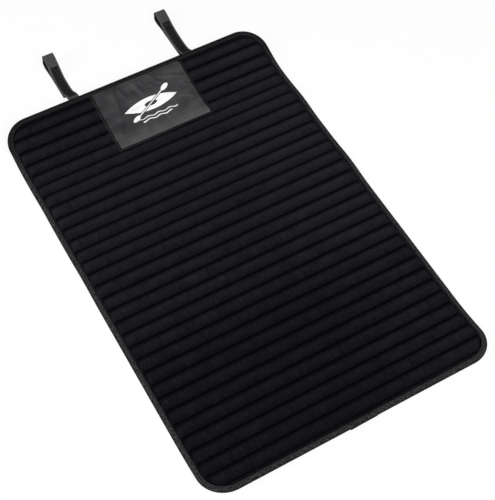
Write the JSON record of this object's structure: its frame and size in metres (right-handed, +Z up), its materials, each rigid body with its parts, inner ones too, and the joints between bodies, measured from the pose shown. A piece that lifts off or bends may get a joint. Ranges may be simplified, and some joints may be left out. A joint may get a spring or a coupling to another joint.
{
  "type": "kayak roof pad",
  "caption": "Quilted mat with a bound edge, a non-slip underside, a sewn label patch and two webbing strap loops, laid on a car to protect it while a boat is loaded.",
  "frame": {"origin": "centre of the bounding box's underside, on the surface that the mat lies on", "axes": "+X across the mat towards the right strap, +Y along the mat towards the straps and the label, +Z up from the non-slip underside"},
  "size_m": [0.6, 1.0512, 0.0344],
  "materials": {
    "face_cloth": "black quilted cloth with a dull nap",
    "foam": "grey closed-cell foam",
    "grip_mesh": "black non-slip coated mesh",
    "binding_tape": "black woven tape with a slight sheen",
    "label_satin": "dark grey satin coated cloth",
    "webbing": "dark grey woven webbing",
    "pile_tape": "black soft pile tape",
    "hook_tape": "black hook tape"
  },
  "bodies": {
    "root": {"face_fabric": "face_cloth", "foam_padding": "foam", "grip_backing": "grip_mesh", "edge_binding": "binding_tape", "label_patch": "label_satin", "left_strap": "webbing", "right_strap": "webbing", "left_pile_pad": "pile_tape", "right_pile_pad": "pile_tape", "left_hook_pad": "hook_tape", "right_hook_pad": "hook_tape"}
  },
  "joints": []
}
